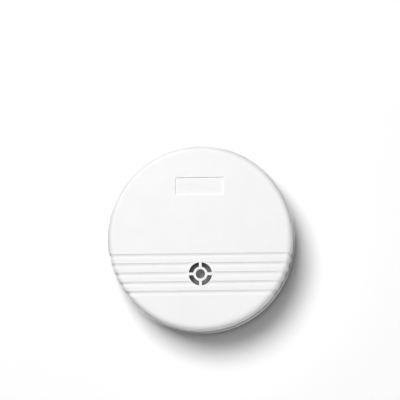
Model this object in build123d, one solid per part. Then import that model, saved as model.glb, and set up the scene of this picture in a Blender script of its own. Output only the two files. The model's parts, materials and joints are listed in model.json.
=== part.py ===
from build123d import *
import math
import os

# Water leak sensor: a round white puck that lies on the floor on four rubber feet. Three metal
# contacts underneath reach almost down to the floor, and a sounder disc lies under the grille in
# the top. A block battery lies in a bay in the base, over a door that slides out of the rim.
# Millimetres. +Z is up, +Y points to the plain half of the top, where the battery lies, and the
# origin is on the floor below the middle of the housing.

# Gaps that every piece shares
fit_gap = 0.1
slide_gap = 0.2
overrun = 1.0

# Housing as a whole
housing_d = 88.0
housing_h = 30.0
foot_proud = 1.5
parting_z = 19.0
seam_h = 0.4
wall = 2.3

# Top cover
cover_top_t = 2.0
cover_step = 0.65
cover_draft = 0.7
cover_edge_r = 2.2
cover_inside_r = 1.0
boss_r = 3.4
boss_bore_depth = 7.0
ring_wall = 1.2
ring_h = 3.0

# Five grooves across the cover, in its upper face and down its side
groove_count = 5
groove_pitch = 4.3
groove_w = 2.55
groove_depth = 0.5
groove_lead = 0.95
groove_run_shares = (0, 0.05, 0.3, 0.5, 1)
groove_depth_shares = (0, 0.5, 0.9, 1, 0)

# Sounder grille in the cover
grille_y = -16.8
grille_r = 5.4
grille_slot_in_r = 3.3
grille_hole_r = 2.2
grille_spoke_w = 1.25
grille_pad_r = 6.0

# Plain rectangular recess in the upper half of the cover
recess_l = 22.4
recess_w = 8.2
recess_depth = 0.55
recess_y = 24.0

# Base shell
floor_t = 2.4
base_draft = 0.3
base_edge_r = 1.2
lip_t = 0.7
lip_h = 1.6
rim_t = 0.35
rim_h = 0.6
rim_edge_r = 0.15
pillar_r = 4.4
pillar_edge_gap = 1.2
pillar_angles = (8, 172, -36, -144)

# Housing screws, from below
counterbore_depth = 7.5
housing_head_r = 2.6
housing_head_h = 2.0
housing_shank_r = 1.3
housing_shank_l = 16.0
screw_slot_w = 0.8
drive_share = 0.6

# Block battery, 48.5 x 26.5 x 17.5 over its terminals
battery_l = 46.4
battery_w = 26.5
battery_h = 17.5
battery_edge_r = 1.6
battery_plate_t = 0.8
battery_jacket_t = 0.4
cell_end_gap = 0.8
cell_gap = 0.1
battery_gap = 0.3
terminal_h = 2.1
terminal_base_t = 0.7
terminal_pitch = 12.7
stud_r = 2.85
stud_bore_r = 1.6
crown_r = 4.0
crown_wall = 0.7
pad_l = 30.0
pad_w = 12.0

# Clip on the battery
snap_t = 2.6
snap_end_gap = 1.25
snap_h = 13.0
snap_room = 1.0
snap_edge_r = 0.8

# Battery bay in the base
bay_wall = 2.0
rail_wall = 2.4
bay_roof_t = 1.2
bay_roof_gap = 0.3
bay_corner_r = 3.0
rail_slot_d = 1.4
lead_slot_w = 3.4
lead_slot_h = 2.6

# Battery door
door_t = 2.0
runner_t = 0.9
door_lip_h = 3.3
grip_count = 5
grip_l = 18.0
grip_w = 0.8
grip_pitch = 1.5
grip_depth = 0.4
grip_edge = 1.6
arrow_l = 5.0
arrow_w = 6.0
arrow_x = 14.0
shelf_t = 1.6

# Springing tongue of the door, with the nub that holds the door shut
latch_w = 8.0
latch_t = 1.2
latch_l = 13.0
latch_window_gap = 0.6
latch_hinge_gap = 0.05
latch_end = 2.0
nub_w = 6.0
nub_t = 1.0
nub_h = 1.5
nub_ramp = 0.3
nub_gap = 0.5
catch_w = 10.0
catch_t = 1.2
catch_h = 1.2
catch_gap = 0.3

# Rubber feet
foot_r = 4.0
foot_seat = 0.5
foot_edge_r = 0.5
foot_rim = 0.9
foot_angles = (30, 150, -60, -120)

# Metal contacts and the pillars that they are screwed into
probe_angles = (-15, -165, -90)
probe_head_r = 3.2
probe_head_h = 1.15
probe_dome_share = 0.8
probe_shank_r = 1.45
post_screw_gap = 1.2
seal_r = 3.4
seal_t = 0.8
post_across = 5.5
post_h = 7.2
post_bore_r = 1.5
board_head_r = 2.75
board_head_h = 1.8

# Circuit board
board_t = 1.6
board_edge_gap = 2.8
board_bay_gap = 1.4
board_post_rim = 0.5
notch_gap = 0.6

# Sounder under the grille
chamber_r = 14.2
chamber_wall = 1.3
chamber_floor_t = 1.2
chamber_bay_gap = 0.5
chamber_shoulder = 1.6
chamber_peg_r = 1.0
chamber_peg_share = 0.65
disc_r = 12.5
disc_t = 0.3
ceramic_r = 9.5
ceramic_t = 0.25
clamp_h = 3.8
clamp_w = 1.8
foam_t = 1.5

# Leads
lead_r = 0.6
lead_pitch = 1.3
lead_edge = 0.4
lead_board_edge = 1.2
lead_reach_red = 9.5
lead_reach_black = 7.0
arc_share = 0.45
bow_low_share = 0.35
bow_high_share = 0.65
sounder_lead_r = 0.4
lead_hole_r = 3.4

# Parts on the board
chip_l = 9.6
chip_w = 6.4
chip_h = 3.4
chip_standoff = 0.5
chip_pins = 4
chip_pitch = 2.54
chip_leg_w = 0.5
chip_leg_t = 0.3
chip_leg_reach = 0.7
chip_dimple_r = 0.5
chip_dimple_edge = 1.5
chip_dimple_depth = 0.3
coil_r = 4.5
coil_h = 9.0
coil_flange_t = 1.2
coil_core_r = 2.0
coil_wire_r = 0.45
can_r = 3.15
can_h = 9.0
can_edge_r = 0.5
can_groove_z = 1.5
can_leg_pitch = 2.5
resistor_r = 1.2
resistor_l = 6.3
resistor_cap_l = 1.3
resistor_neck_r = 1.0
resistor_pitch = 3.0
resistor_leg_span = 10.0
resistor_raise = 0.3
leg_r = 0.3
bead_r = 2.2
bead_t = 1.6
bead_edge_r = 0.5
bead_leg_share = 0.6
bead_raise = 0.8
transistor_r = 2.3
transistor_h = 4.8
transistor_flat_share = 0.55
transistor_raise = 1.4
diode_r = 0.9
diode_l = 3.9
diode_leg_span = 7.6
joint_r = 0.85
joint_h = 1.0
joint_tip_share = 0.45

# Places on the board: angle from +X in degrees, and distance from the axis as a share of the board
chip_angle, chip_share = 203.0, 0.623
coil_angle, coil_share = -26.6, 0.656
can_angle, can_share = -49.7, 0.769
side_resistor_angle, side_resistor_share = 226.0, 0.715
low_resistor_angle, low_resistor_share = -109.4, 0.885
transistor_angle, transistor_share = -75.6, 0.875
bead_angles, bead_share = (-66.5, -58.5), 0.885
diode_angle, diode_share = -72.4, 0.945

# Levels and radii that follow from the sizes above
housing_r = housing_d / 2
underside_z = foot_proud
floor_z = underside_z + floor_t
base_top_z = parting_z - seam_h / 2
cover_low_z = parting_z + seam_h / 2
lip_z = parting_z + lip_h
rim_z = base_top_z + rim_h
cover_under_z = housing_h - cover_top_t
cover_low_r = housing_r - cover_step
cover_sharp_r = cover_low_r - cover_draft
cover_slope = cover_draft / (housing_h - cover_low_z)
cover_flat_r = cover_sharp_r - cover_edge_r * math.tan((math.pi / 2 - math.atan(cover_slope)) / 2)
base_low_r = housing_r - base_draft
base_in_r = housing_r - wall
pillar_ring_r = base_in_r - pillar_edge_gap - pillar_r
screw_seat_z = underside_z + counterbore_depth
board_r = base_in_r - board_edge_gap
board_z = floor_z + seal_t + post_h
board_top_z = board_z + board_t
post_mid_z = board_z - post_h / 2
post_r = post_across / math.sqrt(3)
probe_ring_r = board_r - board_post_rim - post_r
foot_ring_r = base_low_r - base_edge_r - foot_rim - foot_r

chamber_top_z = cover_under_z - foam_t
chamber_in_r = chamber_r - chamber_wall
disc_z = chamber_top_z - clamp_h - disc_t

bay_front_y = grille_y + chamber_r + chamber_bay_gap
bay_y0 = bay_front_y + bay_wall
bay_y1 = bay_y0 + battery_w + 2 * battery_gap
bay_back_y = bay_y1 + bay_wall
bay_half_l = (battery_l + terminal_h + snap_t + snap_room + 2 * battery_gap) / 2
rail_x = bay_half_l + rail_wall
door_top_z = underside_z + door_t
battery_z = door_top_z + slide_gap
bay_roof_z = cover_under_z - bay_roof_gap
bay_top_z = bay_roof_z - bay_roof_t
shelf_z = underside_z + door_lip_h + slide_gap
board_y1 = bay_front_y - board_bay_gap

battery_x0 = battery_gap - bay_half_l
battery_x1 = battery_x0 + battery_l
battery_y = (bay_y0 + bay_y1) / 2
battery_mid_z = battery_z + battery_h / 2
cell_space = min((battery_w - 2 * battery_jacket_t) / 3, (battery_h - 2 * battery_jacket_t) / 2)
cell_r = (cell_space - cell_gap) / 2
snap_l = battery_w - 2 * snap_end_gap
snap_x0 = battery_x1 + terminal_h + battery_gap
snap_x1 = snap_x0 + snap_t

latch_top_z = door_top_z - (door_t - latch_t) / 2
latch_mid_z = latch_top_z - latch_t / 2
nub_y0 = bay_back_y + nub_gap
nub_y1 = nub_y0 + nub_t
latch_y1 = nub_y1 + latch_end
latch_y0 = latch_y1 - latch_l
catch_y0 = nub_y1 + catch_gap


def polar(radius, angle):
    """Point at this distance from the housing's axis, at this angle from +X."""
    return (radius * math.cos(math.radians(angle)), radius * math.sin(math.radians(angle)))


def disc(radius, z0, z1, at=(0, 0)):
    """Upright cylinder between two levels."""
    low_middle = (Align.CENTER, Align.CENTER, Align.MIN)
    return Pos(at[0], at[1], z0) * Cylinder(radius, z1 - z0, align=low_middle)


def ring(outer_r, inner_r, z0, z1, at=(0, 0)):
    """Upright tube between two levels."""
    return disc(outer_r, z0, z1, at) - disc(inner_r, z0 - overrun, z1 + overrun, at)


def block(x0, x1, y0, y1, z0, z1):
    """Box between two corners."""
    return Pos(x0, y0, z0) * Box(x1 - x0, y1 - y0, z1 - z0, align=(Align.MIN, Align.MIN, Align.MIN))


def rod_x(radius, x0, x1, y, z):
    """Cylinder along X."""
    low_middle = (Align.CENTER, Align.CENTER, Align.MIN)
    return Pos(x0, y, z) * Rot(0, 90, 0) * Cylinder(radius, x1 - x0, align=low_middle)


def turned(points, radii, at=(0, 0)):
    """Solid of revolution: an outline from axis to axis, with a radius at each corner between."""
    corners = [(r, 0, z) for r, z in points]
    side = FilletPolyline(*corners, radius=radii)
    axis_line = Line(corners[-1], corners[0])
    face = make_face(side.edges() + axis_line.edges())
    return Pos(at[0], at[1], 0) * revolve(face, Axis.Z)


def base_envelope():
    """Outer shape of the base, filled up to its narrow rim, which stands around the cover's edge."""
    outline = [(0, underside_z), (base_low_r, underside_z), (housing_r, rim_z), (0, rim_z)]
    return turned(outline, [base_edge_r, rim_edge_r])


def cross_slots(radius, z0, z1, at=(0, 0)):
    """Cross recess for a screw head."""
    half = screw_slot_w / 2
    bars = block(-radius, radius, -half, half, z0, z1) + block(-half, half, -radius, radius, z0, z1)
    return Pos(at[0], at[1], 0) * bars


def lead(points, radius):
    """Lead along straight runs joined by arcs, each as large as its two runs allow."""
    places = [Vector(*p) for p in points]
    radii = []
    for before, here, after in zip(places, places[1:], places[2:]):
        turn = (here - before).get_angle(after - here)
        shorter = min((here - before).length, (after - here).length)
        radii.append(arc_share * shorter / math.tan(math.radians(turn / 2)))
    print("lead bend radii:", [round(r, 2) for r in radii])
    path = FilletPolyline(*points, radius=radii)
    start = Plane(origin=path @ 0, z_dir=path % 0)
    return sweep(start * Circle(radius), path=path)


def groove_section(y, depth):
    """Face in the plane at y: what lies outside the cover's outline sunk by depth."""
    reach = housing_r + overrun
    low_z = parting_z - overrun
    top_z = housing_h + overrun
    curve_z = housing_h - cover_edge_r

    def side_x(z):
        side_r = cover_low_r - cover_slope * (z - cover_low_z)
        return math.sqrt((side_r - depth) ** 2 - y ** 2)

    low_x = side_x(low_z)
    high_x = side_x(curve_z)
    flat_x = math.sqrt(cover_flat_r ** 2 - y ** 2)
    curve_h = cover_edge_r - depth
    right = EllipticalCenterArc((flat_x, curve_z), high_x - flat_x, curve_h, 0, arc_size=90)
    left = EllipticalCenterArc((-flat_x, curve_z), high_x - flat_x, curve_h, 90, arc_size=90)
    inside = [
        Line((low_x, low_z), (high_x, curve_z)),
        right,
        Line((flat_x, curve_z + curve_h), (-flat_x, curve_z + curve_h)),
        left,
        Line((-high_x, curve_z), (-low_x, low_z)),
    ]
    outside = Polyline((-low_x, low_z), (-reach, low_z), (-reach, top_z), (reach, top_z), (reach, low_z),
                       (low_x, low_z))
    edges = [edge for line in inside for edge in line.edges()] + list(outside.edges())
    return Plane(origin=(0, y, 0), x_dir=(1, 0, 0), z_dir=(0, -1, 0)) * make_face(edges)


def groove_cutter(y):
    """Cutter for one groove: a step at its upper edge, then a slow rise, over the cover's edge and down."""
    runs = [groove_w * share for share in groove_run_shares]
    depths = [groove_depth * share for share in groove_depth_shares]
    places = [(2 * runs[0] - runs[1], -depths[1])]
    places += list(zip(runs[1:-1], depths[1:-1]))
    places.append((2 * runs[-1] - runs[-2], -depths[-2]))
    return loft([groove_section(y + groove_lead - run, depth) for run, depth in places], ruled=True)


def grille_cutter():
    """Four curved slots round a centre hole."""
    z0 = cover_under_z - overrun
    z1 = housing_h + overrun
    at = (0, grille_y)
    half = grille_spoke_w / 2
    reach = grille_r + overrun
    spokes = block(-half, half, -reach, reach, z0, z1) + block(-reach, reach, -half, half, z0, z1)
    slots = ring(grille_r, grille_slot_in_r, z0, z1, at) - Pos(at[0], at[1], 0) * spokes
    return slots + disc(grille_hole_r, z0, z1, at)


def make_top_cover():
    outline = [(0, cover_low_z), (cover_low_r, cover_low_z), (cover_sharp_r, housing_h), (0, housing_h)]
    shell = turned(outline, [0, cover_edge_r])
    hollow = [(0, cover_low_z - overrun), (base_in_r, cover_low_z - overrun),
              (cover_sharp_r - wall, cover_under_z), (0, cover_under_z)]
    shell -= turned(hollow, [0, cover_inside_r])
    shell -= disc(base_in_r + lip_t + fit_gap, cover_low_z - overrun, lip_z)
    into_top = housing_h - cover_top_t / 2
    for angle in pillar_angles:
        place = polar(pillar_ring_r, angle)
        shell += disc(boss_r, parting_z, into_top, place)
        shell -= disc(housing_shank_r + fit_gap, parting_z - overrun, parting_z + boss_bore_depth, place)
    ring_in_r = chamber_r + fit_gap
    ring_low_z = cover_under_z - ring_h
    chamber_ring = ring(ring_in_r + ring_wall, ring_in_r, ring_low_z, cover_under_z, (0, grille_y))
    beside_bay = bay_front_y - slide_gap
    shell += chamber_ring - block(-rail_x, rail_x, beside_bay, bay_back_y, ring_low_z, cover_under_z)
    pad = disc(grille_pad_r, parting_z, housing_h + overrun, (0, grille_y))
    first_y = grille_y + groove_pitch * (groove_count - 1) / 2
    for number in range(groove_count):
        shell -= groove_cutter(first_y - number * groove_pitch) - pad
    shell -= grille_cutter()
    shell -= block(-recess_l / 2, recess_l / 2, recess_y - recess_w / 2, recess_y + recess_w / 2,
                   housing_h - recess_depth, housing_h + overrun)
    return shell


def bay_block():
    """Outside of the battery bay, with its roof."""
    middle_y = (bay_front_y + bay_back_y) / 2
    outline = RectangleRounded(2 * rail_x, bay_back_y - bay_front_y, bay_corner_r)
    return Pos(0, middle_y, underside_z) * extrude(outline, bay_roof_z - underside_z)


def make_base_shell():
    outer = base_envelope()
    shell = outer - disc(base_in_r, floor_z, rim_z + overrun)
    shell -= disc(housing_r - rim_t, base_top_z, rim_z + overrun)
    shell += ring(base_in_r + lip_t, base_in_r, floor_z, lip_z)
    shell += bay_block()
    into_wall = outer & disc(base_in_r + wall / 2, underside_z, base_top_z)
    for side in (-1, 1):
        x0, x1 = sorted((side * bay_half_l, side * rail_x))
        shell += block(x0, x1, bay_y1, housing_r, underside_z, shelf_z + shelf_t) & into_wall
    shell += block(-rail_x, rail_x, bay_y1, housing_r, shelf_z, shelf_z + shelf_t) & into_wall
    for angle in pillar_angles:
        shell += disc(pillar_r, underside_z, parting_z, polar(pillar_ring_r, angle))

    below = underside_z - overrun
    over_door = door_top_z + slide_gap
    shell -= block(-bay_half_l, bay_half_l, bay_y0, bay_y1, below, bay_top_z)
    shell -= block(-bay_half_l, bay_half_l, bay_y0, housing_d, below, over_door)
    shell -= block(-bay_half_l, bay_half_l, bay_back_y, housing_d, below, shelf_z)
    slot_x = bay_half_l + rail_slot_d
    runner_z = door_top_z - runner_t
    shell -= block(-slot_x, slot_x, bay_y0, housing_d, runner_z - fit_gap, door_top_z + fit_gap)
    beyond_lip = ring(housing_d, base_in_r - slide_gap, below, shelf_z)
    notch_x = rail_x + slide_gap
    shell -= beyond_lip & block(-notch_x, notch_x, 0, housing_d, below, shelf_z)
    shell += block(-catch_w / 2, catch_w / 2, catch_y0, catch_y0 + catch_t, shelf_z - catch_h,
                   shelf_z + shelf_t / 2)

    slot_mid_x = snap_x0 + snap_t / 2
    slot_z = battery_mid_z + snap_h / 2 - lead_slot_h
    shell -= block(slot_mid_x - lead_slot_w / 2, slot_mid_x + lead_slot_w / 2, bay_front_y - overrun,
                   bay_y0 + overrun, slot_z, slot_z + lead_slot_h)
    for angle in pillar_angles:
        place = polar(pillar_ring_r, angle)
        shell -= disc(housing_head_r + slide_gap, below, screw_seat_z, place)
        shell -= disc(housing_shank_r + slide_gap, underside_z, parting_z + overrun, place)
    for angle in foot_angles:
        shell -= disc(foot_r, below, underside_z + foot_seat, polar(foot_ring_r, angle))
    for angle in probe_angles:
        shell -= disc(probe_shank_r + fit_gap, below, floor_z + overrun, polar(probe_ring_r, angle))
    return shell


def make_battery_door():
    outer = base_envelope()
    plate_x = bay_half_l - slide_gap
    y0 = bay_y0 + slide_gap
    door = block(-plate_x, plate_x, y0, housing_r, underside_z, door_top_z)
    runner_x = bay_half_l + rail_slot_d - slide_gap
    runners = block(-runner_x, runner_x, y0, housing_r, door_top_z - runner_t, door_top_z)
    door += runners & disc(base_in_r + wall / 2, underside_z, door_top_z)
    lip = block(-rail_x, rail_x, 0, housing_r, underside_z, underside_z + door_lip_h)
    door += lip - disc(base_in_r, underside_z - overrun, shelf_z + overrun)
    door = door & outer

    half = latch_w / 2
    low_z = underside_z - overrun
    high_z = door_top_z + overrun
    window_x = half + latch_window_gap
    door -= block(-window_x, window_x, latch_y0, latch_y1 + latch_window_gap, low_z, high_z)
    hinge_half = half + latch_hinge_gap
    door -= rod_x(latch_t / 2 + latch_hinge_gap, -hinge_half, hinge_half, latch_y0, latch_mid_z)
    first_y = base_in_r - grip_edge
    grip_z = underside_z + grip_depth
    for number in range(grip_count):
        y = first_y - number * grip_pitch
        door -= block(-grip_l / 2, grip_l / 2, y - grip_w / 2, y + grip_w / 2, low_z, grip_z)
    arrow = Polyline((-arrow_w / 2, 0), (arrow_w / 2, 0), (0, arrow_l), close=True)
    arrow_solid = extrude(make_face(arrow.edges()), overrun + grip_depth)
    for side in (-1, 1):
        door -= Pos(side * arrow_x, first_y - arrow_l, low_z) * arrow_solid
    return door


def make_door_latch():
    half = latch_w / 2
    hinge_y = latch_y0
    tongue = block(-half, half, hinge_y, latch_y1, latch_mid_z - latch_t / 2, latch_top_z)
    tongue += rod_x(latch_t / 2, -half, half, hinge_y, latch_mid_z)
    nub_top = latch_top_z + nub_h
    outline = Polyline((nub_y0 - nub_ramp, latch_top_z), (nub_y0, nub_top), (nub_y1, nub_top),
                       (nub_y1 + nub_ramp, latch_top_z), close=True)
    side = Plane(origin=(-nub_w / 2, 0, 0), x_dir=(0, 1, 0), z_dir=(1, 0, 0))
    return tongue + extrude(side * make_face(outline.edges()), nub_w)


def make_housing_screws():
    screws = []
    for angle in pillar_angles:
        place = polar(pillar_ring_r, angle)
        low_z = screw_seat_z - housing_head_h
        screw = disc(housing_head_r, low_z, screw_seat_z, place)
        screw += disc(housing_shank_r, screw_seat_z, screw_seat_z + housing_shank_l, place)
        drive_r = housing_head_r * drive_share
        screw -= cross_slots(drive_r, low_z - overrun, low_z + housing_head_h / 2, place)
        screws.append(screw)
    return screws


def make_rubber_feet():
    top_z = underside_z + foot_seat
    foot = [(0, 0), (foot_r, 0), (foot_r, top_z), (0, top_z)]
    return [turned(foot, [foot_edge_r, 0], polar(foot_ring_r, angle)) for angle in foot_angles]


def make_probe_screws():
    screws = []
    low_z = underside_z - probe_head_h
    head = [(0, low_z), (probe_head_r, low_z), (probe_head_r, underside_z), (0, underside_z)]
    for angle in probe_angles:
        place = polar(probe_ring_r, angle)
        screw = turned(head, [probe_head_h * probe_dome_share, 0], place)
        screw += disc(probe_shank_r, underside_z, post_mid_z - post_screw_gap / 2, place)
        half = screw_slot_w / 2
        slot = block(-probe_head_r, probe_head_r, -half, half, low_z - overrun, low_z + probe_head_h / 2)
        screws.append(screw - Pos(place[0], place[1], 0) * slot)
    return screws


def make_probe_seals():
    return [ring(seal_r, probe_shank_r + fit_gap, floor_z, floor_z + seal_t, polar(probe_ring_r, angle))
            for angle in probe_angles]


def make_probe_posts():
    posts = []
    for angle in probe_angles:
        place = polar(probe_ring_r, angle)
        post = Pos(place[0], place[1], floor_z + seal_t) * extrude(RegularPolygon(post_r, 6), post_h)
        posts.append(post - disc(post_bore_r, floor_z, board_z + overrun, place))
    return posts


def make_board_screws():
    screws = []
    top_z = board_top_z + board_head_h
    head = [(0, board_top_z), (board_head_r, board_top_z), (board_head_r, top_z), (0, top_z)]
    for angle in probe_angles:
        place = polar(probe_ring_r, angle)
        screw = turned(head, [0, board_head_h / 2], place)
        screw += disc(probe_shank_r, post_mid_z + post_screw_gap / 2, board_top_z, place)
        screw -= cross_slots(board_head_r * drive_share, top_z - board_head_h / 2, top_z + overrun, place)
        screws.append(screw)
    return screws


def peg_places():
    reach = chamber_r * chamber_peg_share
    return [(-reach, grille_y), (reach, grille_y)]


def make_circuit_board():
    board = disc(board_r, board_z, board_top_z)
    board &= block(-board_r, board_r, -board_r, board_y1, board_z, board_top_z)
    low_z = board_z - overrun
    high_z = board_top_z + overrun
    for angle in pillar_angles:
        place = polar(pillar_ring_r, angle)
        if place[1] < board_y1:
            board -= disc(pillar_r + notch_gap, low_z, high_z, place)
    for angle in probe_angles:
        board -= disc(probe_shank_r + fit_gap, low_z, high_z, polar(probe_ring_r, angle))
    for place in peg_places():
        board -= disc(chamber_peg_r + fit_gap, low_z, high_z, place)
    return board


def make_sounder_chamber():
    at = (0, grille_y)
    cup = disc(chamber_r, board_top_z, chamber_top_z, at)
    cup -= disc(chamber_in_r, disc_z, chamber_top_z + overrun, at)
    cup -= disc(chamber_in_r - chamber_shoulder, board_top_z + chamber_floor_t, chamber_top_z, at)
    cup -= disc(lead_hole_r, board_top_z - overrun, chamber_top_z, at)
    for place in peg_places():
        cup += disc(chamber_peg_r, board_z, board_top_z + chamber_floor_t / 2, place)
    return cup


def make_piezo_plate():
    return disc(disc_r, disc_z, disc_z + disc_t, (0, grille_y))


def make_piezo_ceramic():
    return disc(ceramic_r, disc_z - ceramic_t, disc_z, (0, grille_y))


def make_sounder_ring():
    outer_r = chamber_in_r - fit_gap
    return ring(outer_r, outer_r - clamp_w, disc_z + disc_t, chamber_top_z, (0, grille_y))


def make_sounder_seal():
    return ring(chamber_r, chamber_in_r - clamp_w, chamber_top_z, cover_under_z, (0, grille_y))


def sounder_lead(angle, reach, top_z):
    """Lead from the disc, in a bow, down to the board inside the chamber."""
    foot_x, foot_y = polar(lead_hole_r - sounder_lead_r * 2, angle)
    head_x, head_y = polar(reach, angle)
    rise = top_z - board_top_z
    points = [
        (foot_x, grille_y + foot_y, board_top_z),
        (foot_x, grille_y + foot_y, board_top_z + rise * bow_low_share),
        (head_x, grille_y + head_y, board_top_z + rise * bow_high_share),
        (head_x, grille_y + head_y, top_z),
    ]
    return lead(points, sounder_lead_r)


def make_alarm_chip():
    x, y = polar(board_r * chip_share, chip_angle)
    z0 = board_top_z + chip_standoff
    body = Pos(x, y, z0 + chip_h / 2) * Box(chip_l, chip_w, chip_h)
    dimple = disc(chip_dimple_r, z0 + chip_h - chip_dimple_depth, z0 + chip_h + overrun,
                  (x - chip_l / 2 + chip_dimple_edge, y - chip_w / 2 + chip_dimple_edge))
    return body - dimple


def make_chip_legs():
    x, y = polar(board_r * chip_share, chip_angle)
    shoulder_z = board_top_z + chip_standoff + chip_h / 2
    legs = []
    for side in (-1, 1):
        for number in range(chip_pins):
            leg_x = x + (number - (chip_pins - 1) / 2) * chip_pitch
            inner = y + side * chip_w / 2
            outer = inner + side * chip_leg_reach
            shank = outer - side * chip_leg_t
            half = chip_leg_w / 2
            arm = block(leg_x - half, leg_x + half, min(inner, outer), max(inner, outer),
                        shoulder_z - chip_leg_t, shoulder_z)
            drop = block(leg_x - half, leg_x + half, min(shank, outer), max(shank, outer),
                         board_top_z, shoulder_z)
            legs.append(arm + drop)
    return legs


def make_coil_core():
    place = polar(board_r * coil_share, coil_angle)
    top_z = board_top_z + coil_h
    core = disc(coil_r, board_top_z, board_top_z + coil_flange_t, place)
    core += disc(coil_core_r, board_top_z, top_z, place)
    return core + disc(coil_r, top_z - coil_flange_t, top_z, place)


def make_coil_winding():
    place = polar(board_r * coil_share, coil_angle)
    z0 = board_top_z + coil_flange_t
    z1 = board_top_z + coil_h - coil_flange_t
    outer_r = coil_r - coil_wire_r
    winding = ring(outer_r, coil_core_r, z0, z1, place)
    turns = int((z1 - z0) / (2 * coil_wire_r))
    pitch = (z1 - z0) / turns
    for number in range(1, turns):
        z = z0 + number * pitch
        winding -= Pos(place[0], place[1], z) * Torus(outer_r, coil_wire_r / 2)
    return winding


def make_smoothing_capacitor():
    place = polar(board_r * can_share, can_angle)
    top_z = board_top_z + can_h
    outline = [(0, board_top_z), (can_r, board_top_z), (can_r, top_z), (0, top_z)]
    can = turned(outline, [can_edge_r, can_edge_r], place)
    groove = Torus(can_r + can_edge_r / 2, can_edge_r)
    return can - Pos(place[0], place[1], board_top_z + can_groove_z) * groove


def resistor_places():
    """Middle of each resistor, and whether it lies along X."""
    side_x, side_y = polar(board_r * side_resistor_share, side_resistor_angle)
    low_x, low_y = polar(board_r * low_resistor_share, low_resistor_angle)
    half = resistor_pitch / 2
    return [
        ((side_x - half, side_y), False),
        ((side_x + half, side_y), False),
        ((low_x, low_y - half), True),
        ((low_x, low_y + half), True),
    ]


def laid(shape, place, z, along_x):
    """Shape made along X, turned to lie along X or Y at its place on the board."""
    return Pos(place[0], place[1], z) * Rot(0, 0, 0 if along_x else 90) * shape


def make_resistors():
    half = resistor_l / 2
    body = rod_x(resistor_neck_r, -half, half, 0, 0)
    for x0, x1 in ((-half, resistor_cap_l - half), (half - resistor_cap_l, half)):
        body += rod_x(resistor_r, x0, x1, 0, 0)
    z = board_top_z + resistor_raise + resistor_r
    return [laid(body, place, z, along_x) for place, along_x in resistor_places()]


def bent_legs(body_half, span, height):
    """Two legs from the ends of a lying part, bent down to the board."""
    legs = []
    for side in (-1, 1):
        x0, x1 = sorted((side * body_half, side * (span / 2 + leg_r)))
        leg = rod_x(leg_r, x0, x1, 0, 0)
        leg += disc(leg_r, -height, 0, (side * span / 2, 0))
        legs.append(leg)
    return legs


def make_resistor_leads():
    height = resistor_raise + resistor_r
    legs = bent_legs(resistor_l / 2, resistor_leg_span, height)
    return [laid(leg, place, board_top_z + height, along_x)
            for place, along_x in resistor_places() for leg in legs]


def bead_places():
    return [polar(board_r * bead_share, angle) for angle in bead_angles]


def make_ceramic_capacitors():
    bead = Pos(0, 0, board_top_z + bead_raise + bead_r) * Rot(90, 0, 0) * Cylinder(bead_r, bead_t)
    bead = fillet(bead.edges(), bead_edge_r)
    return [Pos(x, y, 0) * bead for x, y in bead_places()]


def make_driver_transistor():
    x, y = polar(board_r * transistor_share, transistor_angle)
    z0 = board_top_z + transistor_raise
    body = disc(transistor_r, z0, z0 + transistor_h, (x, y))
    flat_y = y - transistor_r * transistor_flat_share
    far_y = y + transistor_r
    return body & block(x - transistor_r, x + transistor_r, flat_y, far_y, z0, z0 + transistor_h)


def make_signal_diode():
    place = polar(board_r * diode_share, diode_angle)
    z = board_top_z + resistor_raise + diode_r
    return laid(rod_x(diode_r, -diode_l / 2, diode_l / 2, 0, 0), place, z, True)


def upright_legs():
    """Foot of each upright leg, and the level where it meets its part."""
    legs = []
    x, y = polar(board_r * transistor_share, transistor_angle)
    for number in (-1, 0, 1):
        legs.append(((x + number * chip_pitch / 2, y), board_top_z + transistor_raise))
    for x, y in bead_places():
        for side in (-1, 1):
            reach = bead_r * bead_leg_share
            rise = bead_r - math.sqrt(bead_r ** 2 - (reach - leg_r) ** 2)
            legs.append(((x + side * reach, y), board_top_z + bead_raise + rise))
    return legs


def make_component_leads():
    legs = [disc(leg_r, board_top_z, top_z, place) for place, top_z in upright_legs()]
    height = resistor_raise + diode_r
    place = polar(board_r * diode_share, diode_angle)
    for leg in bent_legs(diode_l / 2, diode_leg_span, height):
        legs.append(laid(leg, place, board_top_z + height, True))
    return legs


def joint_places():
    """Every place where a leg is soldered under the board."""
    places = [place for place, top_z in upright_legs()]
    for (x, y), along_x in resistor_places():
        for side in (-1, 1):
            reach = side * resistor_leg_span / 2
            places.append((x + reach, y) if along_x else (x, y + reach))
    chip_x, chip_y = polar(board_r * chip_share, chip_angle)
    for side in (-1, 1):
        for number in range(chip_pins):
            leg_x = chip_x + (number - (chip_pins - 1) / 2) * chip_pitch
            places.append((leg_x, chip_y + side * (chip_w / 2 + chip_leg_reach - chip_leg_t / 2)))
    for part_share, part_angle, reach in ((coil_share, coil_angle, coil_core_r),
                                          (can_share, can_angle, can_leg_pitch / 2)):
        x, y = polar(board_r * part_share, part_angle)
        places += [(x - reach, y), (x + reach, y)]
    x, y = polar(board_r * diode_share, diode_angle)
    return places + [(x - diode_leg_span / 2, y), (x + diode_leg_span / 2, y)]


def make_solder_joints():
    tip_r = joint_r * joint_tip_share
    low_z = board_z - joint_h
    outline = [(0, low_z), (tip_r, low_z), (joint_r, board_z), (0, board_z)]
    return [turned(outline, [tip_r / 2, 0], place) for place in joint_places()]


def bar_x(width, height, edge_r, x0, x1):
    """Bar along X through the middle of the battery, with rounded long edges."""
    at = Plane(origin=(x0, battery_y, battery_mid_z), x_dir=(0, 1, 0), z_dir=(1, 0, 0))
    return at * extrude(RectangleRounded(width, height, edge_r), x1 - x0)


def make_battery_case():
    x1 = battery_x1 - battery_plate_t
    jacket = bar_x(battery_w, battery_h, battery_edge_r, battery_x0, x1)
    two_walls = 2 * battery_jacket_t
    return jacket - bar_x(battery_w - two_walls, battery_h - two_walls, battery_edge_r - battery_jacket_t,
                          battery_x0 + battery_jacket_t, x1 + overrun)


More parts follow.
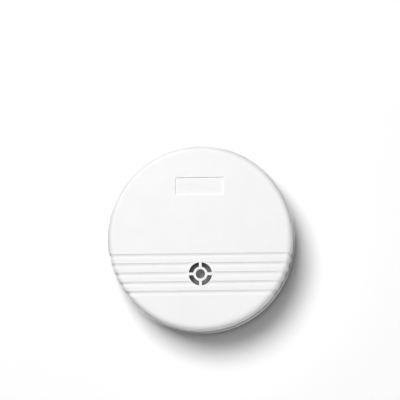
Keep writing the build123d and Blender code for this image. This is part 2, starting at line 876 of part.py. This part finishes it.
def make_battery_cells():
    cells = []
    pitch = 2 * cell_r + cell_gap / 2
    x0 = battery_x0 + battery_jacket_t + cell_gap
    x1 = battery_x1 - battery_plate_t - cell_end_gap
    for row in (-1, 1):
        for column in (-1, 0, 1):
            y = battery_y + column * pitch
            cells.append(rod_x(cell_r, x0, x1, y, battery_mid_z + row * pitch / 2))
    return cells


def make_battery_top_plate():
    return bar_x(battery_w, battery_h, battery_edge_r, battery_x1 - battery_plate_t, battery_x1)


def stud(side, x0, x1, outer_r, inner_r):
    """Round terminal along X, open in the middle."""
    y = battery_y + side * terminal_pitch / 2
    body = rod_x(outer_r, x0, x1, y, battery_mid_z)
    return body - rod_x(inner_r, x0 + terminal_base_t, x1 + overrun, y, battery_mid_z)


def make_battery_positive_terminal():
    return stud(-1, battery_x1, battery_x1 + terminal_h, stud_r, stud_bore_r)


def make_battery_negative_terminal():
    return stud(1, battery_x1, battery_x1 + terminal_h, crown_r, crown_r - crown_wall)


def make_snap_cap():
    return bar_x(snap_l, snap_h, snap_edge_r, snap_x0, snap_x1)


def make_snap_socket():
    y = battery_y - terminal_pitch / 2
    x0 = battery_x1 + battery_gap
    bore_x1 = battery_x1 + terminal_h + fit_gap
    socket = rod_x(crown_r, x0, snap_x0, y, battery_mid_z)
    return socket - rod_x(stud_r + fit_gap, x0 - overrun, bore_x1, y, battery_mid_z)


def make_snap_stud():
    y = battery_y + terminal_pitch / 2
    outer_r = crown_r - crown_wall - fit_gap
    x0 = battery_x1 + terminal_base_t + battery_gap
    return rod_x(outer_r, x0, snap_x0, y, battery_mid_z)


def battery_lead(side, reach):
    """Lead from the clip's end, through the slot in the bay wall, to its pad on the board."""
    x = snap_x0 + snap_t / 2 + side * lead_pitch / 2
    y = battery_y - snap_l / 2
    level = battery_mid_z + snap_h / 2 - lead_r - lead_edge
    outside_y = board_y1 - lead_board_edge - (1 + side) * lead_pitch / 2
    end_x = snap_x0 - reach
    return lead([(x, y, level), (x, outside_y, level), (end_x, outside_y, level),
                 (end_x, outside_y, board_top_z)], lead_r)


def make_battery_pad():
    return block(-pad_l / 2, pad_l / 2, battery_y - pad_w / 2, battery_y + pad_w / 2,
                 battery_z + battery_h, bay_top_z)


pieces = {
    "top_cover": make_top_cover(),
    "base_shell": make_base_shell(),
    "battery_door": make_battery_door(),
    "door_latch": make_door_latch(),
    "housing_screws": make_housing_screws(),
    "rubber_feet": make_rubber_feet(),
    "probe_screws": make_probe_screws(),
    "probe_seals": make_probe_seals(),
    "probe_posts": make_probe_posts(),
    "board_screws": make_board_screws(),
    "circuit_board": make_circuit_board(),
    "sounder_chamber": make_sounder_chamber(),
    "piezo_plate": make_piezo_plate(),
    "piezo_ceramic": make_piezo_ceramic(),
    "sounder_ring": make_sounder_ring(),
    "sounder_seal": make_sounder_seal(),
    "sounder_lead_red": sounder_lead(30, ceramic_r / 2, disc_z - ceramic_t),
    "sounder_lead_blue": sounder_lead(150, ceramic_r / 2, disc_z - ceramic_t),
    "sounder_lead_black": sounder_lead(-90, (ceramic_r + chamber_in_r - chamber_shoulder) / 2, disc_z),
    "alarm_chip": make_alarm_chip(),
    "chip_legs": make_chip_legs(),
    "coil_core": make_coil_core(),
    "coil_winding": make_coil_winding(),
    "smoothing_capacitor": make_smoothing_capacitor(),
    "resistors": make_resistors(),
    "resistor_leads": make_resistor_leads(),
    "ceramic_capacitors": make_ceramic_capacitors(),
    "driver_transistor": make_driver_transistor(),
    "signal_diode": make_signal_diode(),
    "component_leads": make_component_leads(),
    "solder_joints": make_solder_joints(),
    "battery_case": make_battery_case(),
    "battery_cells": make_battery_cells(),
    "battery_top_plate": make_battery_top_plate(),
    "battery_positive_terminal": make_battery_positive_terminal(),
    "battery_negative_terminal": make_battery_negative_terminal(),
    "battery_pad": make_battery_pad(),
    "snap_cap": make_snap_cap(),
    "snap_socket": make_snap_socket(),
    "snap_stud": make_snap_stud(),
    "battery_lead_red": battery_lead(1, lead_reach_red),
    "battery_lead_black": battery_lead(-1, lead_reach_black),
}

os.makedirs("parts", exist_ok=True)
for name, piece in pieces.items():
    shape = Compound(piece) if isinstance(piece, list) else piece
    shape.label = name
    export_step(shape, f"parts/{name}.step")
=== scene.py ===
import json
import math

import bpy
from mathutils import Matrix, Vector


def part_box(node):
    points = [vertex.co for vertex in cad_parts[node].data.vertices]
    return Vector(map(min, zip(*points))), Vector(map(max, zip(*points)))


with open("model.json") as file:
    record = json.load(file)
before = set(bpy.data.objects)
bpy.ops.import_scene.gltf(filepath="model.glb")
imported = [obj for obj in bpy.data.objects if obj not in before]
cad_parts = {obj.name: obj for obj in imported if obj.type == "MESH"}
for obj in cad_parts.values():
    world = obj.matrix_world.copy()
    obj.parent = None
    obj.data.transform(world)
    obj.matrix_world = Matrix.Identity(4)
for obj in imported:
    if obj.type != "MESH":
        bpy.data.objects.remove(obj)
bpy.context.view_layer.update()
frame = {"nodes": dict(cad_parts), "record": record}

nodes = frame["nodes"]
mm = 0.001

# Camera: the photograph's frame in pixels, and where the middle of the seam between the shells lies in it
frame_px = 400
photo_mid_x_px = 201.0
photo_mid_y_px = 239.1
photo_px_per_mm = 2.1345
photo_roll_deg = 0.57
camera_tilt_deg = 4.4
camera_side_deg = -57.0
camera_distance = 1.1
camera_near = 0.05
camera_far = 20.0
sensor_w = 36.0

# Studio light: a key lamp and a wider soft one from the upper left, a small one from low down opposite
lamp_distance = 3.0
lamp_direction_deg = 123.0
key_elevation_deg = 64.0
key_size = 1.5
key_power = 70.0
soft_elevation_deg = 76.0
soft_size = 2.0
soft_power = 22.0
low_elevation_deg = 3.0
low_size = 0.3
low_power = 27.0

# Floor: its white as the camera sees it and as it throws light back, and where it joins the background
floor_size = 6.0
floor_seen_white = 1.1
floor_real_white = 0.5
floor_plain_from = 0.12
floor_plain_beyond = 0.35

# Materials: the values that a noise mostly lies between, the plain end on each side of a band's ramp, and
# the part of a texture unit that one wave of the wave texture takes
noise_low = 0.3
noise_high = 0.7
band_end_share = 1 / 12
wave_share = math.tau / 20


def seen_ray(tree):
    """1 for what the camera sees, by itself, reflected or through glass, and 0 for light on things."""
    paths = tree.nodes.new("ShaderNodeLightPath")
    first = tree.nodes.new("ShaderNodeMath")
    first.operation = "MAXIMUM"
    tree.links.new(paths.outputs["Is Camera Ray"], first.inputs[0])
    tree.links.new(paths.outputs["Is Glossy Ray"], first.inputs[1])
    second = tree.nodes.new("ShaderNodeMath")
    second.operation = "MAXIMUM"
    tree.links.new(first.outputs[0], second.inputs[0])
    tree.links.new(paths.outputs["Is Transmission Ray"], second.inputs[1])
    return second.outputs[0]


def set_world():
    """White background that is only seen and lights nothing."""
    world = bpy.data.worlds.new("studio")
    bpy.context.scene.world = world
    world.use_nodes = True
    tree = world.node_tree
    background = tree.nodes["Background"]
    background.inputs["Color"].default_value = (1, 1, 1, 1)
    tree.links.new(seen_ray(tree), background.inputs["Strength"])


def far_off(tree):
    """0 on the floor near the object, 1 where the floor is as white as the background behind it."""
    place = tree.nodes.new("ShaderNodeTexCoord")
    distance = tree.nodes.new("ShaderNodeVectorMath")
    distance.operation = "LENGTH"
    tree.links.new(place.outputs["Object"], distance.inputs[0])
    reach = tree.nodes.new("ShaderNodeMapRange")
    reach.interpolation_type = "SMOOTHSTEP"
    reach.inputs["From Min"].default_value = floor_plain_from
    reach.inputs["From Max"].default_value = floor_plain_beyond
    tree.links.new(distance.outputs["Value"], reach.inputs["Value"])
    return reach.outputs["Result"]


def floor_finish():
    """White that keeps the object's shadow near it, and is plain background white further off."""
    material = bpy.data.materials.new("floor_white")
    material.use_nodes = True
    tree = material.node_tree
    tree.nodes.clear()
    white = tree.nodes.new("ShaderNodeMix")
    white.data_type = "RGBA"
    white.inputs["A"].default_value = (floor_real_white, floor_real_white, floor_real_white, 1)
    white.inputs["B"].default_value = (floor_seen_white, floor_seen_white, floor_seen_white, 1)
    tree.links.new(seen_ray(tree), white.inputs["Factor"])
    shadowed = tree.nodes.new("ShaderNodeBsdfDiffuse")
    tree.links.new(white.outputs["Result"], shadowed.inputs["Color"])
    plain = tree.nodes.new("ShaderNodeEmission")
    plain.inputs["Color"].default_value = (1, 1, 1, 1)
    plain.inputs["Strength"].default_value = 1.0
    seen_far_off = tree.nodes.new("ShaderNodeMath")
    seen_far_off.operation = "MULTIPLY"
    tree.links.new(seen_ray(tree), seen_far_off.inputs[0])
    tree.links.new(far_off(tree), seen_far_off.inputs[1])
    mix = tree.nodes.new("ShaderNodeMixShader")
    tree.links.new(seen_far_off.outputs[0], mix.inputs["Fac"])
    tree.links.new(shadowed.outputs[0], mix.inputs[1])
    tree.links.new(plain.outputs[0], mix.inputs[2])
    out = tree.nodes.new("ShaderNodeOutputMaterial")
    tree.links.new(mix.outputs[0], out.inputs["Surface"])
    return material


def add_floor():
    bpy.ops.mesh.primitive_plane_add(size=floor_size, location=(0, 0, 0))
    floor = bpy.context.object
    floor.name = "floor"
    floor.data.materials.append(floor_finish())


def add_lamp(name, direction_deg, elevation_deg, size, power):
    """Round soft lamp in this direction, turned to the object."""
    data = bpy.data.lights.new(name, "AREA")
    data.shape = "DISK"
    data.size = size
    data.energy = power
    lamp = bpy.data.objects.new(name, data)
    direction = math.radians(direction_deg)
    elevation = math.radians(elevation_deg)
    flat = math.cos(elevation)
    back = Vector((math.cos(direction) * flat, math.sin(direction) * flat, math.sin(elevation)))
    lamp.location = back * lamp_distance
    lamp.rotation_mode = "QUATERNION"
    lamp.rotation_quaternion = back.to_track_quat("Z", "Y")
    bpy.context.scene.collection.objects.link(lamp)


def set_camera():
    """Camera almost straight above, a bit to the lower right, with the object off the frame's middle."""
    seam_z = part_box("top_cover")[0][2]
    target = Vector((0, 0, seam_z))
    tilt = math.radians(camera_tilt_deg)
    side = math.radians(camera_side_deg)
    back = Vector((math.sin(tilt) * math.cos(side), math.sin(tilt) * math.sin(side), math.cos(tilt)))
    place = target + back * camera_distance
    up = Vector((0, 1, 0))
    up = (up - back * up.dot(back)).normalized()
    right = up.cross(back)
    roll = Matrix.Rotation(math.radians(-photo_roll_deg), 3, back)
    up = roll @ up
    right = roll @ right
    m_per_px = mm / photo_px_per_mm
    above = (photo_mid_y_px - frame_px / 2) * m_per_px
    aside = (photo_mid_x_px - frame_px / 2) * m_per_px
    look_back = (place - target - up * above + right * aside).normalized()
    true_right = up.cross(look_back).normalized()
    true_up = look_back.cross(true_right)
    turn = Matrix((true_right, true_up, look_back)).transposed()
    data = bpy.data.cameras.new("camera")
    data.sensor_width = sensor_w
    data.lens = sensor_w * photo_px_per_mm * camera_distance / mm / frame_px
    data.clip_start = camera_near
    data.clip_end = camera_far
    camera = bpy.data.objects.new("camera", data)
    camera.matrix_world = Matrix.Translation(place) @ turn.to_4x4()
    bpy.context.scene.collection.objects.link(camera)
    bpy.context.scene.camera = camera


def shader_of(material):
    return material.node_tree.nodes["Principled BSDF"]


def new_material(slot, colour, roughness, metallic=0.0):
    """Material for this slot of the record, plain so far."""
    material = bpy.data.materials.new(slot + "_finish")
    material.use_nodes = True
    shader = shader_of(material)
    shader.inputs["Base Color"].default_value = (*colour, 1)
    shader.inputs["Roughness"].default_value = roughness
    shader.inputs["Metallic"].default_value = metallic
    return material


def add_coat(material, weight, roughness):
    """Clear lacquer over the material."""
    shader_of(material).inputs["Coat Weight"].default_value = weight
    shader_of(material).inputs["Coat Roughness"].default_value = roughness


def scaled(colour, factor):
    return tuple(part * factor for part in colour)


def place_in_frame(material, stretch=(1, 1, 1)):
    """Place on the piece in metres of the shared frame, stretched along an axis where asked."""
    tree = material.node_tree
    place = tree.nodes.new("ShaderNodeTexCoord")
    mapping = tree.nodes.new("ShaderNodeMapping")
    mapping.inputs["Scale"].default_value = stretch
    tree.links.new(place.outputs["Object"], mapping.inputs["Vector"])
    return mapping.outputs["Vector"]


def noise(material, width, detail=3.0, stretch=(1, 1, 1)):
    """Soft spots about this wide."""
    tree = material.node_tree
    texture = tree.nodes.new("ShaderNodeTexNoise")
    texture.inputs["Scale"].default_value = 1 / width
    texture.inputs["Detail"].default_value = detail
    tree.links.new(place_in_frame(material, stretch), texture.inputs["Vector"])
    return texture.outputs["Fac"]


def cells(material, width):
    """Pits about this wide, side by side."""
    tree = material.node_tree
    texture = tree.nodes.new("ShaderNodeTexVoronoi")
    texture.inputs["Scale"].default_value = 1 / width
    tree.links.new(place_in_frame(material), texture.inputs["Vector"])
    return texture.outputs["Distance"]


def tint(material, value, colour, dark, light, low=noise_low, high=noise_high):
    """The colour times dark where the value is low, and times light where it is high."""
    tree = material.node_tree
    ramp = tree.nodes.new("ShaderNodeValToRGB")
    first, last = ramp.color_ramp.elements
    first.position = low
    first.color = (*scaled(colour, dark), 1)
    last.position = high
    last.color = (*scaled(colour, light), 1)
    tree.links.new(value, ramp.inputs["Fac"])
    tree.links.new(ramp.outputs["Color"], shader_of(material).inputs["Base Color"])


def vary_gloss(material, value, less, more):
    """The material's roughness less this where the value is low, and more by that where it is high."""
    tree = material.node_tree
    socket = shader_of(material).inputs["Roughness"]
    spread = tree.nodes.new("ShaderNodeMapRange")
    spread.inputs["From Min"].default_value = noise_low
    spread.inputs["From Max"].default_value = noise_high
    spread.inputs["To Min"].default_value = socket.default_value - less
    spread.inputs["To Max"].default_value = socket.default_value + more
    tree.links.new(value, spread.inputs["Value"])
    tree.links.new(spread.outputs["Result"], socket)


def emboss(material, value, depth):
    """Fine relief this deep, laid over any relief that the material already has."""
    tree = material.node_tree
    bump = tree.nodes.new("ShaderNodeBump")
    bump.inputs["Distance"].default_value = depth
    bump.inputs["Strength"].default_value = 1.0
    tree.links.new(value, bump.inputs["Height"])
    normal = shader_of(material).inputs["Normal"]
    if normal.is_linked:
        tree.links.new(normal.links[0].from_socket, bump.inputs["Normal"])
    tree.links.new(bump.outputs["Normal"], normal)


def add_band(material, node, start_share, end_share, colour, band_colour):
    """Band of a second colour round a piece, between these shares of its length along X."""
    low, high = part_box(node)
    length = high[0] - low[0]
    start = low[0] + length * start_share
    end = low[0] + length * end_share
    margin = (end - start) * band_end_share / (1 - 2 * band_end_share)
    tree = material.node_tree
    split = tree.nodes.new("ShaderNodeSeparateXYZ")
    tree.links.new(place_in_frame(material), split.inputs["Vector"])
    reach = tree.nodes.new("ShaderNodeMapRange")
    reach.inputs["From Min"].default_value = start - margin
    reach.inputs["From Max"].default_value = end + margin
    tree.links.new(split.outputs["X"], reach.inputs["Value"])
    ramp = tree.nodes.new("ShaderNodeValToRGB")
    ramp.color_ramp.interpolation = "CONSTANT"
    before, band = ramp.color_ramp.elements
    before.position = 0.0
    before.color = (*colour, 1)
    band.position = band_end_share
    band.color = (*band_colour, 1)
    after = ramp.color_ramp.elements.new(1 - band_end_share)
    after.color = (*colour, 1)
    tree.links.new(reach.outputs["Result"], ramp.inputs["Fac"])
    tree.links.new(ramp.outputs["Color"], shader_of(material).inputs["Base Color"])


def moulded(slot, colour, roughness, spread=0.012):
    """Moulded plastic with the fine grain of a spark-eroded mould and hardly visible clouds."""
    cloud_w = 14 * mm
    gloss_w = 3 * mm
    grain_w = 0.35 * mm
    grain_depth = 0.006 * mm
    material = new_material(slot, colour, roughness)
    clouds = noise(material, cloud_w, detail=2.0)
    tint(material, clouds, colour, dark=1 - spread, light=1 + spread)
    vary_gloss(material, noise(material, gloss_w), less=0.04, more=0.05)
    emboss(material, noise(material, grain_w, detail=2.0), grain_depth)
    return material


def rubber(slot, colour, roughness):
    """Dull rubber with a powdery, slightly uneven skin."""
    powder_w = 1.2 * mm
    gloss_w = 0.6 * mm
    grain_w = 0.15 * mm
    grain_depth = 0.01 * mm
    material = new_material(slot, colour, roughness)
    tint(material, noise(material, powder_w, detail=4.0), colour, dark=0.8, light=1.25)
    vary_gloss(material, noise(material, gloss_w), less=0.08, more=0.08)
    emboss(material, noise(material, grain_w), grain_depth)
    return material


def foam(slot, colour):
    """Closed cell foam: small pits, with painted shade in their bottoms and painted light on their rims.
    """
    pit_w = 0.35 * mm
    pit_depth = 0.08 * mm
    material = new_material(slot, colour, roughness=0.9)
    pits = cells(material, pit_w)
    # painted shade: the colour is darker at the pit bottoms and lighter at their rims, where the relief
    # is high
    tint(material, pits, colour, dark=0.5, light=1.6, low=0.1, high=0.6)
    emboss(material, pits, pit_depth)
    return material


def metal(slot, colour, roughness, stretch=(1, 1, 1), mark_w=0.4 * mm, mark_depth=0.002 * mm):
    """Metal with drawn or turned marks, and a slightly uneven shine."""
    cloud_w = 2 * mm
    material = new_material(slot, colour, roughness, metallic=1.0)
    tint(material, noise(material, cloud_w, detail=4.0), colour, dark=0.9, light=1.06)
    marks = noise(material, mark_w, detail=4.0, stretch=stretch)
    vary_gloss(material, marks, less=0.07, more=0.09)
    emboss(material, marks, mark_depth)
    return material


def sleeve(slot, colour):
    """Extruded insulation of a lead, faintly uneven."""
    cloud_w = 2.5 * mm
    gloss_w = 1 * mm
    grain_w = 0.3 * mm
    grain_depth = 0.004 * mm
    material = new_material(slot, colour, roughness=0.38)
    tint(material, noise(material, cloud_w), colour, dark=0.88, light=1.12)
    vary_gloss(material, noise(material, gloss_w), less=0.06, more=0.1)
    emboss(material, noise(material, grain_w), grain_depth)
    return material


def ceramic(slot, colour, roughness, coat=0.0):
    """Fired or pressed grains, lacquered where a coat is given."""
    grain_w = 0.9 * mm
    gloss_w = 0.5 * mm
    relief_w = 0.25 * mm
    relief_depth = 0.005 * mm
    material = new_material(slot, colour, roughness)
    add_coat(material, coat, roughness=0.12)
    tint(material, noise(material, grain_w, detail=5.0), colour, dark=0.86, light=1.1)
    vary_gloss(material, noise(material, gloss_w), less=0.06, more=0.08)
    emboss(material, noise(material, relief_w), relief_depth)
    return material


def solder_mask(slot, colour):
    """Green lacquer over copper tracks, which show as lighter, slightly raised lines."""
    track_run = 7.6 * mm
    track_pitch = 2.54 * mm
    track_w = 0.35 * mm
    track_height = 0.03 * mm
    gloss_w = 2 * mm
    grain_w = 0.5 * mm
    grain_depth = 0.004 * mm
    material = new_material(slot, colour, roughness=0.32)
    add_coat(material, 0.5, roughness=0.2)
    tree = material.node_tree
    tracks = tree.nodes.new("ShaderNodeTexBrick")
    tracks.inputs["Scale"].default_value = 1.0
    tracks.inputs["Brick Width"].default_value = track_run
    tracks.inputs["Row Height"].default_value = track_pitch
    tracks.inputs["Mortar Size"].default_value = track_w
    tracks.inputs["Mortar Smooth"].default_value = 0.1
    tracks.inputs["Color1"].default_value = (*colour, 1)
    tracks.inputs["Color2"].default_value = (*scaled(colour, 0.9), 1)
    tracks.inputs["Mortar"].default_value = (*scaled(colour, 2.0), 1)
    tree.links.new(place_in_frame(material), tracks.inputs["Vector"])
    tree.links.new(tracks.outputs["Color"], shader_of(material).inputs["Base Color"])
    vary_gloss(material, noise(material, gloss_w), less=0.06, more=0.08)
    emboss(material, tracks.outputs["Fac"], track_height)
    emboss(material, noise(material, grain_w), grain_depth)
    return material


def wound_copper(slot, colour):
    """Enamelled copper: each turn of the wire lies beside the last, one wire's width on, with painted
    shade between the turns and painted light on their crowns.
    """
    wire_w = 0.35 * mm
    wire_relief = 0.03 * mm
    material = new_material(slot, colour, roughness=0.3, metallic=1.0)
    add_coat(material, 0.6, roughness=0.15)
    tree = material.node_tree
    turns = tree.nodes.new("ShaderNodeTexWave")
    turns.wave_type = "BANDS"
    turns.bands_direction = "Z"
    turns.inputs["Scale"].default_value = wave_share / wire_w
    turns.inputs["Distortion"].default_value = 0.4
    tree.links.new(place_in_frame(material), turns.inputs["Vector"])
    # painted shade: darker in the grooves between the turns and lighter on their crowns, following the
    # same relief
    tint(material, turns.outputs["Fac"], colour, dark=0.6, light=1.25, low=0.0, high=1.0)
    emboss(material, turns.outputs["Fac"], wire_relief)
    return material


def block_jacket(slot, colour):
    """Lacquered steel jacket of the block battery, with one copper-coloured end and no print."""
    gloss_w = 4 * mm
    dent_w = 1.5 * mm
    dent_depth = 0.01 * mm
    copper = (0.45, 0.22, 0.09)
    material = new_material(slot, colour, roughness=0.35, metallic=0.3)
    add_band(material, "battery_case", 0.68, 1.1, colour, copper)
    vary_gloss(material, noise(material, gloss_w), less=0.07, more=0.07)
    emboss(material, noise(material, dent_w), dent_depth)
    return material


def banded_diode(slot, colour):
    """Glass sleeve with one dark ring near its end."""
    ripple_w = 0.8 * mm
    ripple_depth = 0.004 * mm
    ring = (0.02, 0.02, 0.02)
    material = new_material(slot, colour, roughness=0.12)
    shader_of(material).inputs["Coat Weight"].default_value = 1.0
    add_band(material, "signal_diode", 0.12, 0.3, colour, ring)
    emboss(material, noise(material, ripple_w), ripple_depth)
    return material


def striped_can(slot, colour):
    """Dark sleeve of the upright capacitor, with a pale stripe down one side."""
    gloss_w = 1.5 * mm
    grain_w = 0.6 * mm
    grain_depth = 0.005 * mm
    stripe = (0.5, 0.52, 0.55)
    material = new_material(slot, colour, roughness=0.3)
    add_band(material, "smoothing_capacitor", -0.1, 0.16, colour, stripe)
    vary_gloss(material, noise(material, gloss_w), less=0.06, more=0.08)
    emboss(material, noise(material, grain_w), grain_depth)
    return material


near_black = (0.03, 0.03, 0.03)
materials = {
    "white_abs": moulded("white_abs", (0.9, 0.9, 0.9), roughness=0.42),
    "screw_steel": metal("screw_steel", (0.62, 0.63, 0.65), roughness=0.3),
    "grey_rubber": rubber("grey_rubber", (0.32, 0.32, 0.33), roughness=0.75),
    "contact_steel": metal("contact_steel", (0.72, 0.72, 0.73), roughness=0.22, stretch=(1, 1, 4)),
    "black_rubber": rubber("black_rubber", near_black, roughness=0.7),
    "plated_brass": metal("plated_brass", (0.72, 0.7, 0.66), roughness=0.25, stretch=(1, 1, 6)),
    "board_laminate": solder_mask("board_laminate", (0.02, 0.16, 0.06)),
    "black_plastic": moulded("black_plastic", near_black, roughness=0.45, spread=0.15),
    "nickel_plate": metal("nickel_plate", (0.1, 0.1, 0.1), roughness=0.42, stretch=(8, 1, 1),
                          mark_w=0.8 * mm),
    "piezo_ceramic": ceramic("piezo_ceramic", (0.75, 0.74, 0.7), roughness=0.5),
    "black_foam": foam("black_foam", (0.05, 0.05, 0.05)),
    "red_insulation": sleeve("red_insulation", (0.6, 0.03, 0.03)),
    "blue_insulation": sleeve("blue_insulation", (0.04, 0.1, 0.5)),
    "black_insulation": sleeve("black_insulation", near_black),
    "tinned_metal": metal("tinned_metal", (0.7, 0.7, 0.7), roughness=0.25),
    "ferrite": ceramic("ferrite", (0.06, 0.06, 0.07), roughness=0.6),
    "copper_wire": wound_copper("copper_wire", (0.6, 0.25, 0.1)),
    "capacitor_sleeve": striped_can("capacitor_sleeve", (0.05, 0.06, 0.15)),
    "resistor_lacquer": ceramic("resistor_lacquer", (0.65, 0.5, 0.33), roughness=0.35, coat=0.6),
    "capacitor_ceramic": ceramic("capacitor_ceramic", (0.62, 0.32, 0.08), roughness=0.35, coat=0.5),
    "diode_glass": banded_diode("diode_glass", (0.75, 0.35, 0.2)),
    "solder": metal("solder", (0.66, 0.66, 0.68), roughness=0.2, mark_w=0.5 * mm, mark_depth=0.02 * mm),
    "battery_jacket": block_jacket("battery_jacket", (0.15, 0.16, 0.18)),
    "cell_metal": metal("cell_metal", (0.5, 0.5, 0.52), roughness=0.35, stretch=(6, 1, 1)),
    "black_vinyl": rubber("black_vinyl", near_black, roughness=0.5),
}

for part in frame["record"]["subparts"]:
    nodes[part["node"]].material_slots[0].material = materials[part["material_slot"]]

set_camera()
set_world()
add_floor()
add_lamp("key", lamp_direction_deg, key_elevation_deg, key_size, key_power)
add_lamp("soft", lamp_direction_deg, soft_elevation_deg, soft_size, soft_power)
add_lamp("low", lamp_direction_deg + 180, low_elevation_deg, low_size, low_power)
bpy.context.scene.view_settings.view_transform = "Standard"
